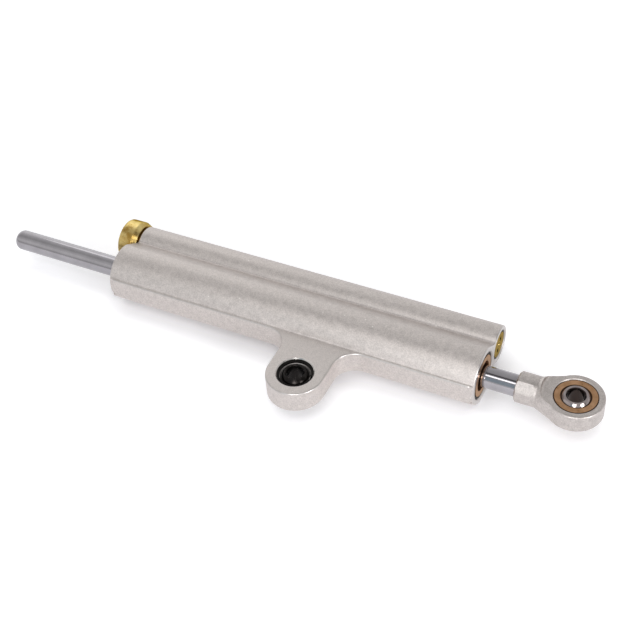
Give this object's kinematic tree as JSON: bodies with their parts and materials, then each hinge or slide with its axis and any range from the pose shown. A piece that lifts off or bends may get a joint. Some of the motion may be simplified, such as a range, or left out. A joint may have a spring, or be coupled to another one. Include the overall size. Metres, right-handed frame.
{
  "type": "motorcycle steering damper",
  "caption": "Through-rod hydraulic steering damper with a side tube, adjuster knob, frame lug with spherical bearing and a rod end.",
  "frame": {"origin": "centre of the lug's spherical bearing", "axes": "+X along the rod towards the rod end, +Y from the lug towards the cylinder, +Z along the bolt holes"},
  "size_m": [0.3025, 0.0783, 0.027],
  "materials": {
    "cylinder_body": "fine bead-blasted and clear anodised",
    "rod_end_alloy": "fine bead-blasted",
    "rod_chrome": "ground and hard chromed",
    "ball_chrome": "polished",
    "plug_brass": "turned",
    "knob_brass": "turned and polished",
    "inner_brass": "turned",
    "head_bronze": "turned bronze, tarnished",
    "bush_bronze": "sintered",
    "race_bronze": "satin",
    "bearing_steel_dark": "phosphated",
    "ball_steel_dark": "dark ground",
    "ring_black": "phosphated spring steel",
    "inner_alloy": "turned",
    "adjuster_brass": "turned, tarnished",
    "inner_steel": "turned",
    "screw_steel": "bright",
    "spring_steel": "drawn wire",
    "band_ptfe": "filled PTFE",
    "seal_rubber": "moulded",
    "oring_rubber": "moulded"
  },
  "bodies": {
    "cylinder": {"cylinder_body": "cylinder_body", "front_head": "head_bronze", "front_retaining_ring": "ring_black", "front_guide_bush": "bush_bronze", "front_rod_seal": "seal_rubber", "front_scraper": "seal_rubber", "front_head_oring": "oring_rubber", "rear_head": "head_bronze", "rear_retaining_ring": "ring_black", "rear_guide_bush": "bush_bronze", "rear_rod_seal": "seal_rubber", "rear_scraper": "seal_rubber", "rear_head_oring": "oring_rubber", "reservoir_plug": "plug_brass", "plug_oring": "oring_rubber", "plug_retaining_ring": "ring_black", "compensator_spring": "spring_steel", "adjuster_body": "adjuster_brass", "adjuster_rear_oring": "oring_rubber", "adjuster_front_oring": "oring_rubber", "needle_jet": "inner_brass", "click_spring": "spring_steel", "frame_race_ring": "ring_black"},
    "piston_group": {"piston": "inner_alloy", "piston_band": "band_ptfe", "piston_oring": "oring_rubber"},
    "rod_group": {"damper_rod": "rod_chrome", "piston_clips": "inner_steel", "rod_end": "rod_end_alloy"},
    "rod_end_bearing_race": {"rod_end_race": "race_bronze"},
    "rod_end_bearing_ball": {"rod_end_ball": "ball_chrome"},
    "lug_bearing_race": {"frame_race": "bearing_steel_dark"},
    "lug_bearing_ball": {"frame_ball": "ball_steel_dark"},
    "knob": {"adjuster_knob": "knob_brass", "knob_screw": "screw_steel", "adjuster_spindle": "inner_steel", "spindle_oring": "oring_rubber"},
    "needle": {"metering_needle": "inner_brass"},
    "click": {"click_ball": "ball_chrome"},
    "compensator": {"compensator_piston": "inner_alloy", "compensator_oring": "oring_rubber"}
  },
  "joints": [
    {"name": "rod_slide", "type": "slide", "parent": "cylinder", "child": "piston_group", "axis": [1, 0, 0], "range_m": [-0.014, 0.061]},
    {"name": "rod_spin", "type": "hinge", "parent": "piston_group", "child": "rod_group", "pos_m": [0, 0.034, 0], "axis": [1, 0, 0], "continuous": true},
    {"name": "bar_eye_swing", "type": "hinge", "parent": "rod_group", "child": "rod_end_bearing_race", "pos_m": [0.116, 0.034, 0], "axis": [0, 0, 1], "continuous": true},
    {"name": "bar_eye_tilt", "type": "hinge", "parent": "rod_end_bearing_race", "child": "rod_end_bearing_ball", "pos_m": [0.116, 0.034, 0], "axis": [1, 0, 0], "range_deg": [-12, 12]},
    {"name": "frame_eye_swing", "type": "hinge", "parent": "cylinder", "child": "lug_bearing_race", "pos_m": [0, 0, 0], "axis": [0, 0, 1], "continuous": true},
    {"name": "frame_eye_tilt", "type": "hinge", "parent": "lug_bearing_race", "child": "lug_bearing_ball", "pos_m": [0, 0, 0], "axis": [1, 0, 0], "range_deg": [-12, 12]},
    {"name": "knob_turn", "type": "hinge", "parent": "cylinder", "child": "knob", "pos_m": [-0.111, 0.0545, 0], "axis": [1, 0, 0], "range_deg": [-270, 270]},
    {"name": "needle_slide", "type": "slide", "parent": "cylinder", "child": "needle", "axis": [1, 0, 0], "range_m": [-0.0006, 0.0006]},
    {"name": "click_ball_slide", "type": "slide", "parent": "cylinder", "child": "click", "axis": [-1, 0, 0], "range_m": [0, 0.0004], "stiffness_N_per_m": 400, "springref_m": 0.001},
    {"name": "compensator_slide", "type": "slide", "parent": "cylinder", "child": "compensator", "axis": [1, 0, 0], "range_m": [-0.005, 0]}
  ],
  "couplings": [
    {"joint": "needle_slide", "follows": "knob_turn", "m_per_rad": 0.00011937}
  ]
}
